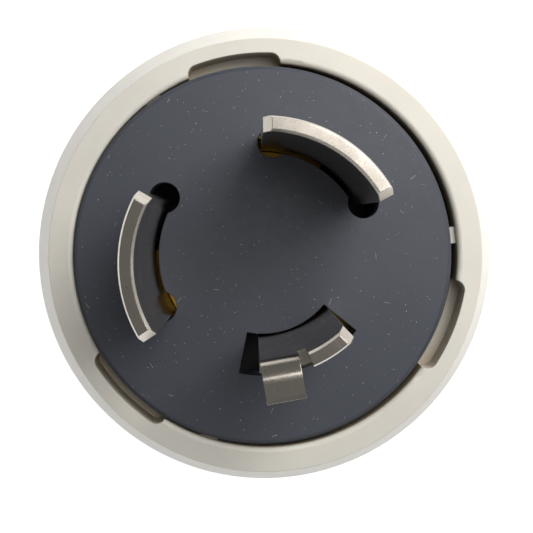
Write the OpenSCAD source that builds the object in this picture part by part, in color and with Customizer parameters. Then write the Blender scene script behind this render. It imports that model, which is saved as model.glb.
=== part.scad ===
// Locking power plug for a flexible cord: two curved line blades and a hooked ground blade
// stand on a round insulating face, inside a ribbed nylon housing with a two-jaw cord clamp.
// It stands on the clamp's rear face, with +Z along the plug and the blades upward.

/* [Face insert] */
// Diameter of the insulating face insert and of the carrier behind it
insert_d = 45.4; // [44.6:0.1:46]
// Height of the insert, from its skirt's edge to the face
insert_height = 12.5; // [11:0.5:14]
// Thickness of the face plate
face_plate = 4; // [3:0.25:4.5]
// Wall of the skirt under the face plate
skirt_wall = 2.4; // [2:0.1:2.6]
// Width of the step around the face's edge
edge_step = 0.25; // [0.15:0.05:0.35]
// Depth of the step around the face's edge
edge_drop = 0.6; // [0.4:0.05:0.9]
// Radius of the screw bosses under the face plate
boss_r = 4.3; // [4:0.1:4.4]

/* [Line blades] */
// Diameter of the circle around the line blades
blade_circle_d = 28.7; // [28.3:0.1:29]
// Thickness of the blade sheet
blade_t = 1.55; // [1.4:0.05:1.7]
// Length of the blades above the face
blade_length = 21.5; // [18:0.5:24]
// Angle that a line blade covers
blade_span = 63; // [60:0.5:66]
// Bevel along the blade tips
tip_bevel = 0.22; // [0.1:0.02:0.35]
// Corner cut at each end of a blade's tip, across
corner_w = 0.85; // [0.5:0.05:1.2]
// Corner cut at each end of a blade's tip, downward
corner_h = 2; // [1:0.1:3]
// Direction of the first line slot
line_x_at = 56; // [55:0.5:58]
// Direction of the second line slot
line_y_at = 178.4; // [177:0.2:180]
// Turn of the blades within the play of their slots
blade_turn = 3.4; // [2:0.1:3.6]

/* [Ground blade] */
// Direction of the ground slot's middle
ground_at = 290; // [289:0.5:292]
// Inner radius of the ground slot
ground_slot_in = 9.4; // [9.2:0.1:9.6]
// Outer radius of the ground slot
ground_slot_out = 14.4; // [14.2:0.1:14.5]
// Angle that the ground slot covers
ground_slot_span = 62.6; // [61:0.2:64]
// Radius to which the ground blade is rolled, at its inner side
ground_roll = 12; // [11:0.25:14]
// Play between the ground blade's middle and the slot's inner edge
ground_play = 0.15; // [0.1:0.05:0.3]
// Direction in which the ground blade lies nearest the axis
ground_near_at = 287; // [286:0.5:289]
// Angle of the rolled sheet before its nearest point
ground_before = 16.2; // [15:0.2:17]
// Angle of the rolled sheet after its nearest point
ground_after = 27.4; // [26:0.2:28]
// Width of the locking tab
tab_w = 3.9; // [3.4:0.1:4.2]
// Reach of the locking tab from the blade's inner side
tab_reach = 4.15; // [3.6:0.05:4.3]
// Outer radius of the tab's bend
tab_bend_r = 2.1; // [1.9:0.05:2.4]
// Width of the relief beside the tab
relief_w = 0.9; // [0.7:0.05:1.1]
// Depth of the relief beside the tab
relief_h = 3.6; // [3:0.1:4.5]

/* [Slots] */
// Play between a line blade and each side of its slot
slot_play = 0.42; // [0.3:0.02:0.5]
// Diameter of the round hole at each end of a line slot
slot_hole_d = 3.7; // [3.4:0.1:4]
// Angle from a line slot's middle to each of its holes
slot_hole_at = 28.7; // [28:0.1:29.5]

/* [Terminals] */
// Width of a terminal block
terminal_w = 10; // [9.4:0.1:10.4]
// Distance from the axis to the terminal's inner side
terminal_in = 8.6; // [8.2:0.1:9]
// Distance from the axis to the terminal's outer side
terminal_out = 18.6; // [18.2:0.1:18.8]
// Turn of a terminal from the middle of its blade
terminal_turn = 20; // [18:0.5:22]
// Depth of a line terminal's top below the face
terminal_drop = 5.5; // [5:0.25:7]
// Further depth of the ground terminal's top
ground_drop = 3; // [2:0.25:3.5]
// Depth of the blade root in its terminal
root_depth = 3.5; // [2.5:0.25:4]
// Width of the wire pocket
wire_w = 6.6; // [6:0.1:7]
// Depth of the wire pocket in the radial direction
wire_d = 5.2; // [4.8:0.1:5.4]
// Height of the wire pocket
wire_h = 9; // [8:0.5:10]
// Thickness of the threaded outer wall of a terminal
thread_wall = 3.2; // [2.8:0.1:3.4]
// Thickness of the pressure plate
pressure_t = 1.2; // [1:0.1:1.4]

/* [Carrier] */
// Height of the terminal carrier
carrier_height = 14; // [13:0.5:15]
// Floor under the terminals
carrier_floor = 2.5; // [2:0.25:3]
// Diameter of each wire entry in the carrier's floor
wire_entry_d = 5; // [4.5:0.1:5.2]

/* [Housing] */
// Diameter of the front ring
ring_d = 52; // [51:0.2:53]
// Largest diameter, around the hand guard
guard_d = 57.8; // [56:0.2:60]
// Distance from the front ring back to the largest diameter
guard_drop = 7.8; // [6:0.2:9]
// Length of the guard's largest diameter
guard_land = 3; // [2:0.25:4]
// Smallest diameter of the body between its grip ribs
waist_d = 46.6; // [46.2:0.1:47.2]
// Radius of the hollow that forms the waist
waist_curve = 33.5; // [32:0.5:36]
// Diameter of the body behind the waist
rear_d = 50; // [49:0.2:51]
// Rounding of the rear edge
rear_edge = 2; // [1:0.1:2.2]
// Thickness of the rear wall
rear_wall = 8; // [7.6:0.1:9]
// Height of the wiring chamber
chamber_height = 21; // [19:0.5:24]
// Diameter of the wiring chamber
chamber_d = 40; // [39:0.2:40.6]
// Rounding of the ring's inner lip
lip_r = 0.6; // [0.4:0.05:0.8]
// Number of grip ribs around the waist
rib_count = 24; // [18:1:28]
// Radius of a grip rib
rib_r = 1.5; // [1.2:0.05:1.6]

/* [Ring recesses and pads] */
// Directions of the three recesses in the ring
recess_at = [99.5, 224.5, 338.5];
// Angle that a recess covers
recess_span = 28; // [24:0.5:30]
// Width of a recess beyond the bore
recess_w = 1.2; // [1:0.05:1.4]
// Depth of a recess below the ring's front
recess_depth = 3.4; // [2.5:0.1:4]
// Directions of the three locating pads, which the assembly screws share
pad_at = [6, 126, 253];
// Width of a locating pad
pad_w = 2; // [1.6:0.1:2.4]
// Depth of a pad's end below the ring's front
pad_drop = 1; // [0.6:0.1:1.5]

/* [Fits] */
// Gap between the insert and the housing's bore
insert_gap = 0.4; // [0.38:0.01:0.45]
// Distance that the insert sits off the housing's axis
insert_shift = 0.35; // [0.2:0.01:0.35]
// Clearance between the pads and the insert
pad_clearance = 0.05; // [0.03:0.01:0.08]
// Height of the face above the ring's front
face_proud = 0.3; // [0.1:0.05:0.6]
// Clearance around a terminal in its pocket
pocket_clearance = 0.1; // [0.05:0.01:0.2]
// Clearance around a screw in its hole
screw_clearance = 0.3; // [0.2:0.02:0.35]
// Clearance between a screw and its thread
thread_clearance = 0.05; // [0.03:0.01:0.08]
// Clearance between the jaws and the housing
jaw_clearance = 0.25; // [0.2:0.01:0.3]

/* [Screws] */
// Diameter of the assembly screws and the clamp screws
screw_d = 4; // [3.8:0.1:4.1]
// Diameter of their heads
head_d = 6.6; // [6.4:0.1:6.8]
// Height of their heads
head_h = 2.4; // [2:0.1:2.6]
// Distance from the axis to the assembly screws
screw_circle = 18.4; // [18.3:0.05:18.5]
// Depth of the head recess in the rear face
head_recess = 2.8; // [2.7:0.05:3]
// Length of the threaded inserts
insert_sleeve_h = 8; // [6:0.5:8]
// Outer diameter of the threaded inserts
insert_sleeve_d = 5.8; // [5.4:0.1:6]
// Diameter of the terminal screws
wire_screw_d = 4; // [3.6:0.1:4.2]
// Diameter of the terminal screws' heads
wire_head_d = 6.4; // [6:0.1:6.8]
// Height of the terminal screws' heads
wire_head_h = 2.2; // [2:0.1:2.6]
// Height of a terminal screw above the terminal's foot
wire_screw_up = 4.5; // [4:0.1:5]
// Width of the screwdriver slots
driver_slot = 0.9; // [0.7:0.05:1.1]

/* [Cord clamp] */
// Diameter of the passage for the cord
cord_d = 17; // [16:0.1:17.6]
// Wall of the jaws
jaw_wall = 4.2; // [3.8:0.1:4.4]
// Height of the jaws behind the housing
jaw_reach = 17; // [15:0.5:20]
// Width of the gap between the jaws
jaw_gap = 2.5; // [1.5:0.1:3]
// Width of the jaws' retaining flange
flange_w = 1.6; // [1.4:0.05:1.8]
// Thickness of the retaining flange
flange_t = 1.6; // [1.4:0.05:1.8]
// Depth of the retaining groove from the rear face
groove_depth = 4; // [3.8:0.05:4.2]
// Radius of the ears that hold the clamp screws
ear_r = 5.5; // [5.2:0.1:6]
// Distance from the axis to the clamp screws
ear_at = 15.5; // [15.3:0.1:16]
// Thickness of each ear
ear_t = 4.25; // [4:0.05:4.4]
// Height of the clamp screws above the rear face
ear_up = 8.5; // [8:0.1:9]
// Direction of the ears, between the assembly screws
ear_dir = 156; // [155:0.5:157]
// Number of grip grooves in the jaws
grip_count = 4; // [3:1:5]
// Distance between the grip grooves
grip_pitch = 3; // [2.8:0.1:3.4]
// Depth of the grip grooves
grip_depth = 0.6; // [0.4:0.05:0.9]
// Width of the clamp nuts across their flats
nut_af = 7; // [6.8:0.1:7.4]
// Thickness of the clamp nuts
nut_t = 3.2; // [3:0.1:3.4]
// Depth of the nut pockets in the ears
nut_pocket = 1.6; // [1.2:0.1:2]

/* [Hidden] */
$fn = 96;

// How far a cutting shape runs past the surface that it opens
past = 1;
// How far a pad or rib is rooted in the wall that carries it
rooted = 0.5;

// Heights, from the jaws' rear face upward
z_rear = jaw_reach;
z_chamber = z_rear + rear_wall;
z_ledge = z_chamber + chamber_height;
z_carrier_top = z_ledge + carrier_height;
z_face = z_carrier_top + insert_height;
z_ring = z_face - face_proud;
z_guard = z_ring - guard_drop;
z_tip = z_face + blade_length;
z_terminal_foot = z_ledge + carrier_floor;
z_head_seat = z_rear + head_recess;

// Radii
insert_r = insert_d / 2;
bore_r = insert_r + insert_gap;
blade_out = blade_circle_d / 2;
blade_in = blade_out - blade_t;
slot_mid = (blade_in + blade_out) / 2;
ground_near = ground_slot_in + ground_play;
jaw_r = cord_d / 2 + jaw_wall;
flange_r = jaw_r + flange_w;

// Directions
line_x_dir = line_x_at + blade_turn;
line_y_dir = line_y_at + blade_turn;
ground_mid = ground_near_at + (ground_after - ground_before) / 2;
line_x_terminal = line_x_dir + terminal_turn;
line_y_terminal = line_y_dir + terminal_turn;
ground_terminal_dir = ground_mid + terminal_turn;

// The waist's narrowest place: where its hollow starts at the guard's lower edge
waist_r = waist_d / 2;
waist_bite = guard_d / 2 - waist_r;
z_waist = z_guard - guard_land - sqrt(2 * waist_curve * waist_bite - waist_bite ^ 2);

// Carries its children over to the insert's own axis
module on_insert() {
    translate([-insert_shift, 0, 0]) children();
}

// A ring sector with true round faces, from one direction to another
module sector(r_in, r_out, from, to, z, h) {
    rotate([0, 0, from]) rotate_extrude(angle = to - from)
        translate([r_in, z]) square([r_out - r_in, h]);
}

// A rod along the radial direction, starting at x and pointing outward
module radial_rod(x, z, r, length) {
    translate([x, 0, z]) rotate([0, 90, 0]) cylinder(r = r, h = length);
}

// Places its children in the direction of each assembly screw
module at_screws() {
    on_insert() for (a = pad_at) rotate([0, 0, a]) translate([screw_circle, 0, 0]) children();
}

// Housing ------------------------------------------------------------------

module housing_outline() {
    guard_r = guard_d / 2;
    rear_r = rear_d / 2;
    difference() {
        union() {
            polygon([[0, z_rear], [rear_r - rear_edge, z_rear], [rear_r, z_rear + rear_edge],
                     [rear_r, z_waist], [guard_r, z_waist], [guard_r, z_guard],
                     [ring_d / 2, z_ring], [0, z_ring]]);
            translate([rear_r - rear_edge, z_rear + rear_edge]) circle(rear_edge);
        }
        translate([waist_r + waist_curve, z_waist]) circle(waist_curve);
    }
}

// The rounded lip between the ring's front and the bore
module lip_cut() {
    difference() {
        translate([bore_r - past, z_ring - lip_r]) square([past + lip_r, lip_r + past]);
        translate([bore_r + lip_r, z_ring - lip_r]) circle(lip_r);
    }
}

module housing_hollow() {
    translate([0, z_ledge]) square([bore_r, z_ring - z_ledge + past]);
    translate([0, z_chamber]) square([chamber_d / 2, chamber_height + past]);
    translate([0, z_rear - past]) square([jaw_r + jaw_clearance, rear_wall + 2 * past]);
    translate([0, z_rear + groove_depth])
        square([flange_r + jaw_clearance, flange_t + 2 * jaw_clearance]);
    lip_cut();
}

// A recess in the ring, with round ends that start at the bore's wall
module ring_recess() {
    end_turn = recess_span / 2 - asin(recess_w / bore_r);
    z = z_ring - recess_depth;
    sector(bore_r - past, bore_r + recess_w, -end_turn, end_turn, z, recess_depth + past);
    for (side = [-1, 1]) rotate([0, 0, side * end_turn])
        translate([bore_r, 0, z]) cylinder(r = recess_w, h = recess_depth + past);
}

// The pads' inner faces follow the insert, so they hold it where it sits
module locating_pads() {
    difference() {
        for (a = pad_at) rotate([0, 0, a])
            translate([bore_r - 2 * insert_gap, -pad_w / 2, z_ledge])
                cube([2 * insert_gap + rooted, pad_w, z_ring - pad_drop - z_ledge]);
        on_insert() translate([0, 0, z_ledge - past])
            cylinder(r = insert_r + pad_clearance, h = z_ring - z_ledge + 2 * past);
    }
}

module grip_ribs() {
    for (i = [0:rib_count - 1]) rotate([0, 0, 360 * i / rib_count])
        translate([waist_r, 0, z_rear + rear_edge])
            cylinder(r = rib_r, h = z_guard - z_rear - rear_edge);
}

module housing() {
    color("#e2e0d6") {
        difference() {
            union() {
                rotate_extrude() housing_outline();
                grip_ribs();
            }
            rotate_extrude() housing_hollow();
            for (a = recess_at) rotate([0, 0, a]) ring_recess();
            at_screws() {
                translate([0, 0, z_rear - past])
                    cylinder(d = screw_d + 2 * screw_clearance, h = z_ledge - z_rear + 2 * past);
                translate([0, 0, z_rear - past])
                    cylinder(d = head_d + 2 * screw_clearance, h = head_recess + past);
            }
        }
        locating_pads();
    }
}

// Face insert --------------------------------------------------------------

module insert_outline() {
    top_r = insert_r - edge_step;
    polygon([[0, z_carrier_top], [insert_r, z_carrier_top], [insert_r, z_face - edge_drop],
             [top_r, z_face - edge_drop], [top_r, z_face - edge_step],
             [top_r - edge_step, z_face], [0, z_face]]);
}

// A line slot: a narrow arc between two round holes
module line_slot(z, h) {
    sector(blade_in - slot_play, blade_out + slot_play, -slot_hole_at, slot_hole_at, z, h);
    for (side = [-1, 1]) rotate([0, 0, side * slot_hole_at])
        translate([slot_mid, 0, z]) cylinder(d = slot_hole_d, h = h);
}

module ground_slot(z, h) {
    sector(ground_slot_in, ground_slot_out, -ground_slot_span / 2, ground_slot_span / 2, z, h);
}

module face_insert() {
    cavity_h = insert_height - face_plate;
    color("#565a63") on_insert() difference() {
        rotate_extrude() insert_outline();
        difference() {
            translate([0, 0, z_carrier_top - past])
                cylinder(r = insert_r - skirt_wall, h = cavity_h + past);
            for (a = pad_at) rotate([0, 0, a]) translate([screw_circle, 0, z_carrier_top - 2 * past])
                cylinder(r = boss_r, h = cavity_h + 3 * past);
        }
        for (a = [line_x_at, line_y_at]) rotate([0, 0, a])
            line_slot(z_carrier_top - past, insert_height + 2 * past);
        rotate([0, 0, ground_at]) ground_slot(z_carrier_top - past, insert_height + 2 * past);
        for (a = pad_at) rotate([0, 0, a]) translate([screw_circle, 0, z_carrier_top - past])
            cylinder(d = insert_sleeve_d, h = insert_sleeve_h + past);
    }
}

// Terminal carrier ---------------------------------------------------------

// The room that one terminal and its screw take in the carrier
module terminal_room() {
    grown = terminal_w + 2 * pocket_clearance;
    translate([terminal_in - pocket_clearance, -grown / 2, z_terminal_foot])
        cube([terminal_out - terminal_in + 2 * pocket_clearance, grown, carrier_height]);
    translate([(wire_in() + wire_in() + wire_d - pressure_t) / 2, 0, z_ledge - past])
        cylinder(d = wire_entry_d, h = carrier_floor + 2 * past);
    radial_rod(terminal_out, z_terminal_foot + wire_screw_up,
               wire_head_d / 2 + screw_clearance, insert_r - terminal_out + past);
}

module terminal_carrier() {
    color("#26272b") on_insert() difference() {
        translate([0, 0, z_ledge]) cylinder(r = insert_r, h = carrier_height);
        for (a = [line_x_terminal, line_y_terminal, ground_terminal_dir]) rotate([0, 0, a])
            terminal_room();
        for (a = pad_at) rotate([0, 0, a]) translate([screw_circle, 0, z_ledge - past])
            cylinder(d = screw_d + 2 * screw_clearance, h = carrier_height + 2 * past);
    }
}

// Blades -------------------------------------------------------------------

// Cross-section of a blade, with its bevelled tip
module blade_section(r_in, bottom) {
    r_out = r_in + blade_t;
    polygon([[r_in, bottom], [r_out, bottom], [r_out, z_tip - 2 * tip_bevel],
             [r_out - tip_bevel, z_tip], [r_in + tip_bevel, z_tip],
             [r_in, z_tip - 2 * tip_bevel]]);
}

// A wedge that cuts the tip's corner, on the side that the sheet's edge faces
module corner_cut(r_mid, edge, side) {
    lean = atan(corner_w / corner_h);
    rotate([0, 0, edge]) translate([r_mid, -side * corner_w, z_tip]) rotate([side * lean, 0, 0])
        translate([-2 * blade_t, side > 0 ? 0 : -2 * corner_h, -2 * corner_h])
            cube([4 * blade_t, 2 * corner_h, 4 * corner_h]);
}

// Part of a rolled blade between two directions, with both tip corners cut
module rolled_blade(r_in, from, to, bottom) {
    difference() {
        rotate([0, 0, from]) rotate_extrude(angle = to - from) blade_section(r_in, bottom);
        corner_cut(r_in + blade_t / 2, from, -1);
        corner_cut(r_in + blade_t / 2, to, 1);
    }
}

// A line blade stands on its terminal by a root that fills the terminal's groove
module line_blade() {
    top = z_face - terminal_drop;
    half = blade_span / 2;
    difference() {
        rolled_blade(blade_in, -half, half, top - root_depth);
        sector(blade_in - past, blade_out + past, -half - past, root_from(),
               top - root_depth - past, root_depth + past);
    }
}

module line_blade_x() {
    color("#cfc9bd") on_insert() rotate([0, 0, line_x_dir]) line_blade();
}

module line_blade_y() {
    color("#cfc9bd") on_insert() rotate([0, 0, line_y_dir]) line_blade();
}

// Side view of the locking tab: up along the blade, over the bend and outward
module tab_side() {
    difference() {
        union() {
            translate([0, -relief_h - rooted]) square([blade_t, relief_h + rooted - tab_bend_r]);
            translate([tab_bend_r, -tab_bend_r]) intersection() {
                circle(tab_bend_r);
                translate([-tab_bend_r, 0]) square(tab_bend_r);
            }
            translate([tab_bend_r, -blade_t])
                polygon([[0, 0], [tab_reach - tab_bend_r, 0], [tab_reach - tab_bend_r, blade_t - tip_bevel],
                         [tab_reach - tab_bend_r - 2 * tip_bevel, blade_t], [0, blade_t]]);
        }
        translate([tab_bend_r, -tab_bend_r]) circle(tab_bend_r - blade_t);
    }
}

// The tab, as wide as the strip that the relief frees
module locking_tab() {
    translate([0, tab_w / 2, 0]) rotate([90, 0, 0]) linear_extrude(tab_w) tab_side();
}

module ground_blade() {
    top = z_face - terminal_drop - ground_drop;
    tab_turn = asin(tab_w / 2 / ground_roll);
    tab_dir = tab_turn - ground_before;
    tab_end = 2 * tab_turn - ground_before;
    relief_turn = relief_w / ground_roll * 180 / PI;
    color("#cfc9bd") on_insert() rotate([0, 0, ground_near_at])
        translate([ground_near - ground_roll, 0, 0]) {
            difference() {
                rolled_blade(ground_roll, -ground_before, ground_after, top - root_depth);
                sector(ground_roll - past, ground_roll + blade_t + past,
                       -ground_before - past, tab_end + relief_turn, z_tip - relief_h, relief_h + past);
                sector(ground_roll - past, ground_roll + blade_t + past,
                       -ground_before - past, ground_root_from(),
                       top - root_depth - past, root_depth + past);
            }
            rotate([0, 0, tab_dir]) translate([ground_roll * cos(tab_turn), 0, z_tip]) locking_tab();
        }
}

// Terminals ----------------------------------------------------------------

// Inner side of the wire pocket
function wire_in() = terminal_out - thread_wall - wire_d;

// Direction in which a blade's root starts, from the blade's middle
function root_from() = terminal_turn - asin((terminal_w / 2) / blade_out);
function ground_root_from() = 0;

// A terminal block, with its wire pocket open below and its screw hole outward
module terminal_block(top) {
    difference() {
        translate([terminal_in, -terminal_w / 2, z_terminal_foot])
            cube([terminal_out - terminal_in, terminal_w, top - z_terminal_foot]);
        translate([wire_in(), -wire_w / 2, z_terminal_foot - past])
            cube([wire_d, wire_w, wire_h + past]);
        radial_rod(wire_in(), z_terminal_foot + wire_screw_up,
                   wire_screw_d / 2 + thread_clearance, terminal_out - wire_in() + past);
    }
}

module line_terminal(blade_dir) {
    top = z_face - terminal_drop;
    color("#c9a356") on_insert() difference() {
        rotate([0, 0, blade_dir + terminal_turn]) terminal_block(top);
        rotate([0, 0, blade_dir]) sector(blade_in - thread_clearance, blade_out + thread_clearance,
                                         root_from() - terminal_turn, blade_span,
                                         top - root_depth, root_depth + past);
    }
}

module line_terminal_x() { line_terminal(line_x_dir); }
module line_terminal_y() { line_terminal(line_y_dir); }

module ground_terminal() {
    top = z_face - terminal_drop - ground_drop;
    color("#c9a356") on_insert() difference() {
        rotate([0, 0, ground_terminal_dir]) terminal_block(top);
        rotate([0, 0, ground_near_at]) translate([ground_near - ground_roll, 0, 0])
            sector(ground_roll - thread_clearance, ground_roll + blade_t + thread_clearance,
                   -ground_before, 2 * ground_after, top - root_depth, root_depth + past);
    }
}

module pressure_plate(dir) {
    play = 2 * pocket_clearance;
    color("#b9b9b4") on_insert() rotate([0, 0, dir])
        translate([wire_in() + wire_d - pressure_t, -(wire_w - play) / 2, z_terminal_foot + play])
            cube([pressure_t, wire_w - play, wire_h - 2 * play]);
}

module pressure_plate_x() { pressure_plate(line_x_terminal); }
module pressure_plate_y() { pressure_plate(line_y_terminal); }
module pressure_plate_ground() { pressure_plate(ground_terminal_dir); }

// A slotted screw along the radial direction, from its plate out to its head
module terminal_screw(dir) {
    z = z_terminal_foot + wire_screw_up;
    start = wire_in() + wire_d;
    head = terminal_out + pocket_clearance;
    on_insert() rotate([0, 0, dir]) difference() {
        union() {
            radial_rod(start, z, wire_screw_d / 2, head - start);
            radial_rod(terminal_out, z, wire_head_d / 2, wire_head_h);
        }
        translate([terminal_out + wire_head_h / 2, -wire_head_d, z - driver_slot / 2])
            cube([wire_head_h, 2 * wire_head_d, driver_slot]);
    }
}

module line_terminal_screws() {
    color("#d2b36a") for (a = [line_x_terminal, line_y_terminal]) terminal_screw(a);
}

module ground_terminal_screw() {
    color("#3f8a55") terminal_screw(ground_terminal_dir);
}

// Assembly screws ----------------------------------------------------------

// A slotted pan-head screw: its head below z = 0 and its shank above
module pan_screw(length) {
    difference() {
        union() {
            translate([0, 0, -head_h]) cylinder(d = head_d, h = head_h);
            cylinder(d = screw_d, h = length);
        }
        translate([-head_d, -driver_slot / 2, -head_h - past])
            cube([2 * head_d, driver_slot, past + head_h / 2]);
    }
}

module assembly_screws() {
    length = z_carrier_top + insert_sleeve_h - past - z_head_seat;
    color("#c4c3bd") at_screws() translate([0, 0, z_head_seat]) pan_screw(length);
}

module threaded_inserts() {
    color("#c9a356") at_screws() translate([0, 0, z_carrier_top]) difference() {
        cylinder(d = insert_sleeve_d, h = insert_sleeve_h);
        translate([0, 0, -past])
            cylinder(d = screw_d + 2 * thread_clearance, h = insert_sleeve_h + 2 * past);
    }
}

// Cord clamp ---------------------------------------------------------------

// Half of a jaw's round wall, with its retaining flange and its grip grooves
module jaw_profile() {
    z_flange = z_rear + groove_depth + jaw_clearance;
    z_end = z_flange + flange_t;
    difference() {
        union() {
            translate([cord_d / 2, 0]) square([jaw_wall, z_end]);
            translate([cord_d / 2, z_flange]) square([jaw_wall + flange_w, flange_t]);
        }
        for (i = [1:grip_count])
            translate([cord_d / 2 - past, i * grip_pitch])
                square([past + grip_depth, grip_pitch / 2]);
    }
}

// One jaw, on the +Y side of the parting gap, with an ear at each end
module jaw() {
    difference() {
        union() {
            rotate_extrude() jaw_profile();
            for (side = [-1, 1]) {
                translate([side * ear_at, 0, ear_up]) rotate([-90, 0, 0])
                    cylinder(r = ear_r, h = jaw_gap / 2 + ear_t);
                translate([side > 0 ? 0 : -ear_at, 0, ear_up - ear_r])
                    cube([ear_at, jaw_gap / 2 + ear_t, 2 * ear_r]);
            }
        }
        translate([-2 * ear_at, jaw_gap / 2 - 2 * ear_at, -past])
            cube([4 * ear_at, 2 * ear_at, z_chamber + 2 * past]);
        translate([0, 0, -past]) cylinder(d = cord_d, h = z_chamber + 2 * past);
        for (side = [-1, 1])
            translate([side * ear_at, 0, ear_up]) rotate([-90, 0, 0])
                cylinder(d = screw_d + 2 * screw_clearance, h = jaw_gap + ear_t + past);
    }
}

module clamp_jaw_plain() {
    color("#2b2c30") rotate([0, 0, ear_dir]) jaw();
}

module clamp_jaw_nutted() {
    color("#2b2c30") rotate([0, 0, ear_dir + 180]) difference() {
        jaw();
        for (side = [-1, 1]) translate([side * ear_at, jaw_gap / 2 + ear_t - nut_pocket, ear_up])
            rotate([-90, 0, 0]) cylinder(r = nut_r() + pocket_clearance, h = nut_pocket + past, $fn = 6);
    }
}

// Radius at a nut's corners
function nut_r() = nut_af / 2 / cos(30);

module clamp_screws() {
    seat = jaw_gap / 2 + ear_t;
    length = 2 * seat - nut_pocket + nut_t + past;
    color("#c4c3bd") rotate([0, 0, ear_dir]) for (side = [-1, 1])
        translate([side * ear_at, seat, ear_up]) rotate([90, 0, 0]) pan_screw(length);
}

module clamp_nuts() {
    seat = jaw_gap / 2 + ear_t - nut_pocket;
    color("#c4c3bd") rotate([0, 0, ear_dir + 180]) for (side = [-1, 1])
        translate([side * ear_at, seat, ear_up]) rotate([-90, 0, 0]) difference() {
            cylinder(r = nut_r(), h = nut_t, $fn = 6);
            translate([0, 0, -past])
                cylinder(d = screw_d + 2 * thread_clearance, h = nut_t + 2 * past);
        }
}

housing();
face_insert();
terminal_carrier();
line_blade_x();
line_blade_y();
ground_blade();
line_terminal_x();
line_terminal_y();
ground_terminal();
pressure_plate_x();
pressure_plate_y();
pressure_plate_ground();
line_terminal_screws();
ground_terminal_screw();
assembly_screws();
threaded_inserts();
clamp_jaw_plain();
clamp_jaw_nutted();
clamp_screws();
clamp_nuts();
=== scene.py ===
"""Looks for a locking power plug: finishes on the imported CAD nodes, dust on the face, stage and camera.

Lengths are in metres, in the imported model's frame: the plug stands on its cord clamp at z = 0 and its
blades point up +Z. Run as a script it registers the add-on, applies every operator in order and finishes.
"""

import math

import bpy
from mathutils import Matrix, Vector


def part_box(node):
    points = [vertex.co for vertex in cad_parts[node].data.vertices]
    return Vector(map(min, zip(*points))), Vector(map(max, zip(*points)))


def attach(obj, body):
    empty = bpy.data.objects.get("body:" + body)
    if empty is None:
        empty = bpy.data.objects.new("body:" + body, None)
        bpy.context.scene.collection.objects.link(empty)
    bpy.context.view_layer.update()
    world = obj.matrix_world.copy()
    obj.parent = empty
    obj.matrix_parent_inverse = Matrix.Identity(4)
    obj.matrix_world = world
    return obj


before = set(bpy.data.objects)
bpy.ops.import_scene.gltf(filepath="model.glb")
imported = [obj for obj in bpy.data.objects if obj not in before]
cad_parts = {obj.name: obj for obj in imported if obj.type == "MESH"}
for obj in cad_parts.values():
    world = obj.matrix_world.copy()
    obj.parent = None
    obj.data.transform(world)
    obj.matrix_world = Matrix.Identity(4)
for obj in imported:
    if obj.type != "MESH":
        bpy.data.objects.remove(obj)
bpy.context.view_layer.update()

bl_info = {
    "name": "Locking plug looks",
    "version": (1, 0, 0),
    "blender": (4, 5, 0),
    "location": "View3D > Sidebar > Plug",
    "description": "Finishes, face dust and stage for a locking power plug",
    "category": "Object",
}

MM = 0.001

# Where the two lights hang
KEY_PLACE = (120 * MM, 120 * MM, 480 * MM)
SIDE_PLACE = (85 * MM, 95 * MM, 155 * MM)
# A face counts as level when its normal rises this far, and as the front within this depth of the top
LEVEL_NORMAL = 0.99
FRONT_DEPTH = 0.1 * MM
# Added to the seed, so that the fibres don't lie on the specks
LINT_SEED_STEP = 7.0
# The depth of the lines that drawing leaves in metal
LINE_DEPTH = 0.004 * MM

# Nodes that share one finish
HOUSING = ("housing",)
INSERT = ("face_insert",)
CARRIER = ("terminal_carrier",)
JAWS = ("clamp_jaw_plain", "clamp_jaw_nutted")
BLADES = ("line_blade_x", "line_blade_y", "ground_blade")
BRASS = ("line_terminal_x", "line_terminal_y", "ground_terminal", "line_terminal_screws", "threaded_inserts")
PLATES = ("pressure_plate_x", "pressure_plate_y", "pressure_plate_ground")
STEEL = ("assembly_screws", "clamp_screws", "clamp_nuts")
GREEN = ("ground_terminal_screw",)


def linear(hexadecimal):
    """The linear RGBA of an sRGB colour written as six hexadecimal digits."""
    channels = [int(hexadecimal[i : i + 2], 16) / 255 for i in (0, 2, 4)]
    return [c / 12.92 if c <= 0.04045 else ((c + 0.055) / 1.055) ** 2.4 for c in channels] + [1.0]


def colour_property(name, text, hexadecimal):
    return bpy.props.FloatVectorProperty(
        name=name, description=text, subtype="COLOR", size=4, min=0, max=1, default=linear(hexadecimal)
    )


def length_property(name, text, default):
    return bpy.props.FloatProperty(name=name, description=text, default=default, unit="LENGTH", precision=6)


def number_property(name, text, default):
    return bpy.props.FloatProperty(name=name, description=text, default=default, precision=4)


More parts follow.
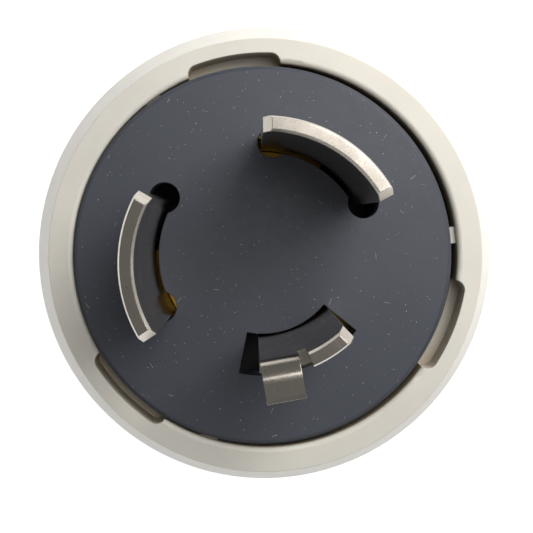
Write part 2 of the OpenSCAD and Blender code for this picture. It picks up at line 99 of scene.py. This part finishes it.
class PlugFinishSettings(bpy.types.PropertyGroup):
    """Colours and grain of the plug's materials."""

    housing: colour_property("Housing", "Ivory moulded nylon", "eeebe2")
    # painted shade: the warm colour that gaps and recesses in the housing are darkened towards
    housing_painted_shade: colour_property("Housing painted shade", "Painted warm shade in the nylon's gaps and recesses", "b9a88c")
    insert: colour_property("Insert", "Blue-grey insulating face", "4a4e59")
    # painted shade: the near-black colour that the insides of the face's slots are darkened towards
    insert_painted_shade: colour_property("Insert painted shade", "Painted shade inside the slots", "08080a")
    carrier: colour_property("Carrier", "Black terminal carrier", "17171a")
    jaw: colour_property("Jaws", "Black nylon of the cord clamp", "1d1d20")
    # painted shade: the colour that corners of the jaws and the terminal carrier are darkened towards
    jaw_painted_shade: colour_property("Jaw painted shade", "Painted shade in the clamp's corners", "0a0a0b")
    nickel: colour_property("Nickel", "Plating of the blades", "bdb7ae")
    nickel_worn: colour_property("Worn nickel", "Darker tone where the plating is handled", "857d73")
    brass: colour_property("Brass", "Terminals, their screws and the inserts", "c79a3f")
    brass_worn: colour_property("Worn brass", "Duller tone of the brass", "8a6427")
    steel: colour_property("Steel", "Zinc-plated screws, nuts and plates", "b9bcc0")
    steel_worn: colour_property("Worn steel", "Duller tone of the zinc", "7d8085")
    green: colour_property("Ground green", "Dyed ground terminal screw", "2f7a45")
    green_worn: colour_property("Worn green", "Darker tone of the dyed screw", "1c4a2b")
    nylon_grain: length_property("Nylon grain", "Size of the housing's surface grain", 0.25 * MM)
    insert_grain: length_property("Insert grain", "Size of the face's matte grain", 0.14 * MM)
    metal_line: length_property("Drawn lines", "Width of the lines that drawing leaves in metal", 0.06 * MM)
    edge: length_property("Edge", "Radius that rounds the look of sharp edges", 0.14 * MM)


class PlugDustSettings(bpy.types.PropertyGroup):
    """Dust that lies on the insulating face."""

    dust: colour_property("Dust", "Pale dust and lint", "d8d8d6")
    per_area: number_property("Specks", "Specks on each square metre of the face", 330000.0)
    lint_per_area: number_property("Lint", "Fibres on each square metre of the face", 24000.0)
    speck: length_property("Speck radius", "Radius of the largest speck", 0.075 * MM)
    lint_length: length_property("Fibre length", "Length of the longest fibre", 0.95 * MM)
    lint_width: length_property("Fibre width", "Thickness of a fibre", 0.028 * MM)
    seed: bpy.props.IntProperty(name="Seed", description="Which scatter is used", default=11)


class PlugStageSettings(bpy.types.PropertyGroup):
    """Camera, lights and floor."""

    camera_x: length_property("Camera X", "Camera position along X", -1.84 * MM)
    camera_y: length_property("Camera Y", "Camera position along Y", 4.18 * MM)
    camera_height: length_property("Camera height", "Camera above the floor", 184.5 * MM)
    lens: number_property("Lens", "Focal length in millimetres on a 36 mm sensor", 63.3)
    shift_x: number_property("Shift X", "Sideways shift of the sensor", 0.031)
    shift_y: number_property("Shift Y", "Upward shift of the sensor", -0.087)
    key_power: number_property("Key light", "Watts of the large light above", 0.52)
    key_size: length_property("Key size", "Width of the large light", 240 * MM)
    side_power: number_property("Side light", "Watts of the upper right light", 0.17)
    side_size: length_property("Side size", "Width of the upper right light", 100 * MM)
    floor_glow: number_property("Floor glow", "How much the table shines of itself", 0.82)
    sky: number_property("Sky", "Strength of the surrounding light", 0.2)
    floor: colour_property("Floor", "White table", "fbfbfb")
    floor_size: length_property("Floor size", "Width of the table", 1400 * MM)


def add(tree, kind, inputs=None, **settings):
    """A new node of that kind, with its settings made and its inputs set or linked."""
    made = tree.nodes.new(kind)
    for key, value in settings.items():
        setattr(made, key, value)
    for key, value in (inputs or {}).items():
        if isinstance(value, bpy.types.NodeSocket):
            tree.links.new(value, made.inputs[key])
        else:
            made.inputs[key].default_value = value
    return made


def mixed(tree, factor, a, b, blend="MIX"):
    """The colour between a and b at factor. The colour sockets of the Mix node are inputs 6 and 7."""
    return add(tree, "ShaderNodeMix", {0: factor, 6: a, 7: b}, data_type="RGBA", blend_type=blend).outputs[2]


def ranged(tree, value, low, high, to_low, to_high):
    """value, carried from one range to another."""
    names = {"Value": value, "From Min": low, "From Max": high, "To Min": to_low, "To Max": to_high}
    return add(tree, "ShaderNodeMapRange", names).outputs[0]


def grain(tree, place, size, detail=3.0, roughness=0.6):
    """Noise whose grain has a real size in metres."""
    names = {"Vector": place, "Scale": 1 / size, "Detail": detail, "Roughness": roughness}
    return add(tree, "ShaderNodeTexNoise", names).outputs[0]


def new_material(name):
    """An empty node material, its tree and its object coordinates, which are in metres."""
    material = bpy.data.materials.new(name)
    material.use_nodes = True
    material.node_tree.nodes.clear()
    tree = material.node_tree
    return material, tree, add(tree, "ShaderNodeTexCoord").outputs["Object"]


def close(material, tree, shader):
    """Ends a material at its output."""
    add(tree, "ShaderNodeOutputMaterial", {"Surface": shader.outputs[0]})
    return material


def moulded(name, colour, painted_shade, grain_size, edge, roughness, relief, reach, translucent=0.0):
    """Moulded plastic: matte grain, faint flow marks, soft edges and a painted shade where it is enclosed."""
    material, tree, place = new_material(name)
    fine = grain(tree, place, grain_size)
    flow = grain(tree, place, 7 * MM, 2.0, 0.5)
    # flow marks: the tone wanders by a few hundredths
    lighter = mixed(tree, 1.0, colour, [1.02, 1.02, 1.02, 1], "MULTIPLY")
    darker = mixed(tree, 1.0, colour, [0.97, 0.97, 0.975, 1], "MULTIPLY")
    toned = mixed(tree, ranged(tree, flow, 0.35, 0.65, 0, 1), darker, lighter)
    speckled = mixed(tree, ranged(tree, fine, 0.3, 0.75, 0.0, 0.12), toned, [1, 1, 1, 1], "SOFT_LIGHT")
    # painted shade: places that ambient occlusion finds enclosed take the painted shade colour
    open_share = add(tree, "ShaderNodeAmbientOcclusion", {"Distance": reach}, samples=8).outputs["AO"]
    tone = mixed(tree, ranged(tree, open_share, 0.05, 0.5, 1, 0), speckled, painted_shade)
    # softened edges, then the grain's relief
    soft = add(tree, "ShaderNodeBevel", {"Radius": edge}, samples=4).outputs[0]
    relief_names = {"Strength": 0.55, "Distance": relief, "Height": fine, "Normal": soft}
    bumped = add(tree, "ShaderNodeBump", relief_names).outputs[0]
    shine = ranged(tree, grain(tree, place, 1.2 * MM, 4.0), 0.3, 0.7, roughness - 0.05, roughness + 0.07)
    names = {
        "Base Color": tone,
        "Roughness": shine,
        "Normal": bumped,
        "Subsurface Weight": translucent,
        "Subsurface Radius": (1.0, 0.62, 0.34),
        "Subsurface Scale": 0.9 * MM,
    }
    return close(material, tree, add(tree, "ShaderNodeBsdfPrincipled", names))


def drawn_metal(name, colour, worn, line, edge, roughness, stretch):
    """Drawn or plated metal: fine lines along the drawing, duller clouds and a few darker spots."""
    material, tree, place = new_material(name)
    along = add(tree, "ShaderNodeMapping", {"Vector": place, "Scale": stretch}).outputs[0]
    lines = grain(tree, along, line, 2.0, 0.5)
    clouds = grain(tree, place, 3.2 * MM, 4.0, 0.55)
    spots = grain(tree, place, 0.5 * MM, 2.0)
    tone = mixed(tree, ranged(tree, clouds, 0.4, 0.7, 0.0, 0.35), colour, worn)
    spotted = mixed(tree, ranged(tree, spots, 0.66, 0.74, 0, 0.5), tone, worn)
    shine = ranged(tree, clouds, 0.3, 0.7, roughness, roughness + 0.1)
    uneven = ranged(tree, lines, 0.3, 0.7, -0.03, 0.05)
    lined = add(tree, "ShaderNodeMath", {0: shine, 1: uneven}, operation="ADD")
    soft = add(tree, "ShaderNodeBevel", {"Radius": edge}, samples=4).outputs[0]
    bump_names = {"Strength": 0.35, "Distance": LINE_DEPTH, "Height": lines, "Normal": soft}
    bumped = add(tree, "ShaderNodeBump", bump_names).outputs[0]
    names = {"Base Color": spotted, "Metallic": 1.0, "Roughness": lined.outputs[0], "Normal": bumped}
    return close(material, tree, add(tree, "ShaderNodeBsdfPrincipled", names))


def matte(name, colour, size, roughness, glow=0.0):
    """A dull surface whose tone varies a little: dust, or the table, which may shine faintly of itself."""
    material, tree, place = new_material(name)
    dim = mixed(tree, 1.0, colour, [0.97, 0.97, 0.97, 1], "MULTIPLY")
    tone = mixed(tree, ranged(tree, grain(tree, place, size), 0.3, 0.7, 0, 1), dim, colour)
    names = {"Base Color": tone, "Roughness": roughness, "Emission Color": tone, "Emission Strength": glow}
    return close(material, tree, add(tree, "ShaderNodeBsdfPrincipled", names))


def put_on(material, nodes):
    """Puts a finish on CAD nodes by their material slots."""
    for name in nodes:
        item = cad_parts.get(name)
        if item is None or not item.material_slots:
            raise RuntimeError(f"node {name} has no material slot")
        for each in item.material_slots:
            each.material = material


class PLUG_OT_insulators(bpy.types.Operator):
    """Finish the housing, face insert, terminal carrier and clamp jaws"""

    bl_idname = "plug.insulators"
    bl_label = "Finish insulators"

    def execute(self, context):
        look = context.scene.plug_finish
        # the housing's nylon lets a little light in, and its recesses and gaps get a painted warm shade
        put_on(moulded("ivory_nylon_satin", look.housing, look.housing_painted_shade, look.nylon_grain,
                     look.edge, 0.42, 0.008 * MM, 4 * MM, 0.12), HOUSING)
        # the face insert's slots darken to a painted shade
        put_on(moulded("blue_grey_nylon_matte", look.insert, look.insert_painted_shade, look.insert_grain,
                     look.edge, 0.46, 0.012 * MM, 2.5 * MM), INSERT)
        # the carrier and the jaws darken to a painted shade in their corners
        put_on(moulded("black_nylon_carrier", look.carrier, look.jaw_painted_shade, look.nylon_grain,
                     look.edge, 0.5, 0.01 * MM, 3 * MM), CARRIER)
        put_on(moulded("black_nylon_jaws", look.jaw, look.jaw_painted_shade, look.nylon_grain,
                     look.edge, 0.44, 0.012 * MM, 3 * MM), JAWS)
        return {"FINISHED"}


class PLUG_OT_metals(bpy.types.Operator):
    """Finish the blades, terminals, plates and screws"""

    bl_idname = "plug.metals"
    bl_label = "Finish metals"

    def execute(self, context):
        look = context.scene.plug_finish
        upright, around = (1.0, 1.0, 0.04), (0.12, 0.12, 1.0)
        put_on(drawn_metal("nickel_plated_blade", look.nickel, look.nickel_worn, look.metal_line,
                         look.edge, 0.12, upright), BLADES)
        put_on(drawn_metal("brass_cast", look.brass, look.brass_worn, look.metal_line,
                         look.edge, 0.3, around), BRASS)
        put_on(drawn_metal("zinc_plated_plate", look.steel, look.steel_worn, look.metal_line,
                         look.edge, 0.32, around), PLATES)
        put_on(drawn_metal("zinc_plated_screw", look.steel, look.steel_worn, look.metal_line,
                         look.edge, 0.26, around), STEEL)
        put_on(drawn_metal("green_dyed_screw", look.green, look.green_worn, look.metal_line,
                         look.edge, 0.34, around), GREEN)
        return {"FINISHED"}


def scatter_group(material):
    """Node group that scatters flat specks and fibres on a mesh's highest upward faces."""
    group = bpy.data.node_groups.new("Dust scatter", "GeometryNodeTree")
    face = group.interface
    face.new_socket(name="Geometry", in_out="OUTPUT", socket_type="NodeSocketGeometry")
    face.new_socket(name="Geometry", in_out="INPUT", socket_type="NodeSocketGeometry")
    for name in ("Level", "Specks", "Lint", "Speck radius", "Fibre length", "Fibre width"):
        face.new_socket(name=name, in_out="INPUT", socket_type="NodeSocketFloat")
    face.new_socket(name="Seed", in_out="INPUT", socket_type="NodeSocketInt")
    given = group.nodes.new("NodeGroupInput").outputs

    def compared(a, b):
        return add(group, "FunctionNodeCompare", {"A": a, "B": b}, operation="GREATER_THAN").outputs[0]

    def height(kind):
        return add(group, "ShaderNodeSeparateXYZ", {0: add(group, kind).outputs[0]}).outputs["Z"]

    up = compared(height("GeometryNodeInputNormal"), LEVEL_NORMAL)
    high = compared(height("GeometryNodeInputPosition"), given["Level"])
    chosen = add(group, "FunctionNodeBooleanMath", {0: up, 1: high}, operation="AND").outputs[0]

    def points(density, seed_step):
        seed = add(group, "ShaderNodeMath", {0: given["Seed"], 1: seed_step}, operation="ADD").outputs[0]
        names = {"Mesh": given["Geometry"], "Selection": chosen, "Density": density, "Seed": seed}
        return add(group, "GeometryNodeDistributePointsOnFaces", names).outputs["Points"]

    def spread(density, seed_step, shape, low, high_scale):
        turn = add(group, "FunctionNodeRandomValue", {"Min": (0, 0, 0), "Max": (0, 0, 2 * math.pi)},
                   data_type="FLOAT_VECTOR").outputs[0]
        grow = add(group, "FunctionNodeRandomValue", {"Min": low, "Max": high_scale},
                   data_type="FLOAT_VECTOR").outputs[0]
        names = {"Points": points(density, seed_step), "Instance": shape, "Rotation": turn, "Scale": grow}
        return add(group, "GeometryNodeInstanceOnPoints", names).outputs[0]

    round_names = {"Radius": given["Speck radius"], "Subdivisions": 1}
    ball = add(group, "GeometryNodeMeshIcoSphere", round_names).outputs[0]
    sides = add(group, "ShaderNodeCombineXYZ", {
        "X": given["Fibre length"], "Y": given["Fibre width"], "Z": given["Fibre width"]}).outputs[0]
    fibre = add(group, "GeometryNodeMeshCube", {"Size": sides}).outputs[0]
    specks = spread(given["Specks"], 0.0, ball, (0.18, 0.18, 0.08), (0.8, 0.8, 0.3))
    lint = spread(given["Lint"], LINT_SEED_STEP, fibre, (0.2, 0.6, 0.6), (1.0, 1.0, 1.0))
    joined = group.nodes.new("GeometryNodeJoinGeometry")
    group.links.new(specks, joined.inputs[0])
    group.links.new(lint, joined.inputs[0])
    real = add(group, "GeometryNodeRealizeInstances", {0: joined.outputs[0]})
    painted = add(group, "GeometryNodeSetMaterial", {"Geometry": real.outputs[0], "Material": material})
    add(group, "NodeGroupOutput", {0: painted.outputs[0]})
    return group


class PLUG_OT_dust(bpy.types.Operator):
    """Scatter dust specks and lint on the insulating face"""

    bl_idname = "plug.dust"
    bl_label = "Scatter dust"

    def execute(self, context):
        settings = context.scene.plug_dust
        material = matte("pale_dust", settings.dust, 0.1 * MM, 0.9)
        group = scatter_group(material)
        piece = bpy.data.objects.new("face_dust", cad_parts["face_insert"].data.copy())
        context.scene.collection.objects.link(piece)
        modifier = piece.modifiers.new("Dust", "NODES")
        modifier.node_group = group
        values = {
            "Level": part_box("face_insert")[1].z - FRONT_DEPTH,
            "Specks": settings.per_area,
            "Lint": settings.lint_per_area,
            "Speck radius": settings.speck,
            "Fibre length": settings.lint_length,
            "Fibre width": settings.lint_width,
            "Seed": settings.seed,
        }
        for socket in group.interface.items_tree:
            if socket.in_out == "INPUT" and socket.name in values:
                modifier[socket.identifier] = values[socket.name]
        context.view_layer.update()
        depsgraph = context.evaluated_depsgraph_get()
        made = bpy.data.meshes.new_from_object(piece.evaluated_get(depsgraph))
        if not made.polygons:
            raise RuntimeError("the scatter made no dust")
        piece.modifiers.clear()
        piece.data = made
        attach(piece, "root")
        return {"FINISHED"}


def area_light(scene, name, place, target, size, power, tint):
    """A square soft light at place that faces target."""
    lamp = bpy.data.lights.new(name, "AREA")
    lamp.size, lamp.energy, lamp.color = size, power, tint
    item = bpy.data.objects.new(name, lamp)
    item.location = place
    item.rotation_euler = (Vector(target) - Vector(place)).to_track_quat("-Z", "Y").to_euler()
    scene.collection.objects.link(item)


def white_surroundings(scene, strength):
    """A world that is plain white to the camera and through clear things, and dimmer as light."""
    world = bpy.data.worlds.new("white_surroundings")
    world.use_nodes = True
    tree = world.node_tree
    tree.nodes.clear()
    path = add(tree, "ShaderNodeLightPath")
    rays = {0: path.outputs["Is Camera Ray"], 1: path.outputs["Is Transmission Ray"]}
    seen = add(tree, "ShaderNodeMath", rays, operation="ADD", use_clamp=True)
    plain = add(tree, "ShaderNodeBackground", {"Color": (1, 1, 1, 1), "Strength": 1.0})
    soft = add(tree, "ShaderNodeBackground", {"Color": (1.0, 0.985, 0.96, 1), "Strength": strength})
    both = add(tree, "ShaderNodeMixShader", {0: seen.outputs[0], 1: soft.outputs[0], 2: plain.outputs[0]})
    add(tree, "ShaderNodeOutputWorld", {"Surface": both.outputs[0]})
    scene.world = world


class PLUG_OT_stage(bpy.types.Operator):
    """Set the floor, lights and camera"""

    bl_idname = "plug.stage"
    bl_label = "Set the stage"

    def execute(self, context):
        scene, stage = context.scene, context.scene.plug_stage
        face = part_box("face_insert")[1].z
        bpy.ops.mesh.primitive_plane_add(size=stage.floor_size)
        floor = context.object
        floor.name = "white_table"
        floor.data.materials.append(matte("white_table_paper", stage.floor, 0.6 * MM, 0.95, stage.floor_glow))

        area_light(scene, "key", KEY_PLACE, (0, 0, face), stage.key_size,
                   stage.key_power, (1.0, 0.99, 0.97))
        area_light(scene, "upper_right", SIDE_PLACE, (0, 0, face), stage.side_size,
                   stage.side_power, (1.0, 0.97, 0.92))
        white_surroundings(scene, stage.sky)

        camera = bpy.data.cameras.new("camera")
        camera.lens, camera.sensor_width = stage.lens, 36
        camera.shift_x, camera.shift_y = stage.shift_x, stage.shift_y
        camera.clip_start = 1 * MM
        holder = bpy.data.objects.new("camera", camera)
        holder.location = (stage.camera_x, stage.camera_y, stage.camera_height)
        scene.collection.objects.link(holder)
        scene.camera = holder
        scene.view_settings.view_transform = "Standard"
        return {"FINISHED"}


class PLUG_PT_panel(bpy.types.Panel):
    """The plug's settings and steps"""

    bl_label = "Locking plug"
    bl_idname = "PLUG_PT_panel"
    bl_space_type = "VIEW_3D"
    bl_region_type = "UI"
    bl_category = "Plug"

    def draw(self, context):
        scene = context.scene
        for settings in (scene.plug_finish, scene.plug_dust, scene.plug_stage):
            box = self.layout.box()
            for name in settings.__annotations__:
                box.prop(settings, name)
        for step in STEPS:
            self.layout.operator(step.bl_idname)


STEPS = (PLUG_OT_insulators, PLUG_OT_metals, PLUG_OT_dust, PLUG_OT_stage)
CLASSES = (PlugFinishSettings, PlugDustSettings, PlugStageSettings, *STEPS, PLUG_PT_panel)


def register():
    for each in CLASSES:
        bpy.utils.register_class(each)
    bpy.types.Scene.plug_finish = bpy.props.PointerProperty(type=PlugFinishSettings)
    bpy.types.Scene.plug_dust = bpy.props.PointerProperty(type=PlugDustSettings)
    bpy.types.Scene.plug_stage = bpy.props.PointerProperty(type=PlugStageSettings)


def unregister():
    del bpy.types.Scene.plug_stage
    del bpy.types.Scene.plug_dust
    del bpy.types.Scene.plug_finish
    for each in reversed(CLASSES):
        bpy.utils.unregister_class(each)


def main():
    register()
    for step in (bpy.ops.plug.insulators, bpy.ops.plug.metals, bpy.ops.plug.dust, bpy.ops.plug.stage):
        if step() != {"FINISHED"}:
            raise RuntimeError("a step didn't finish")


if __name__ == "__main__":
    main()
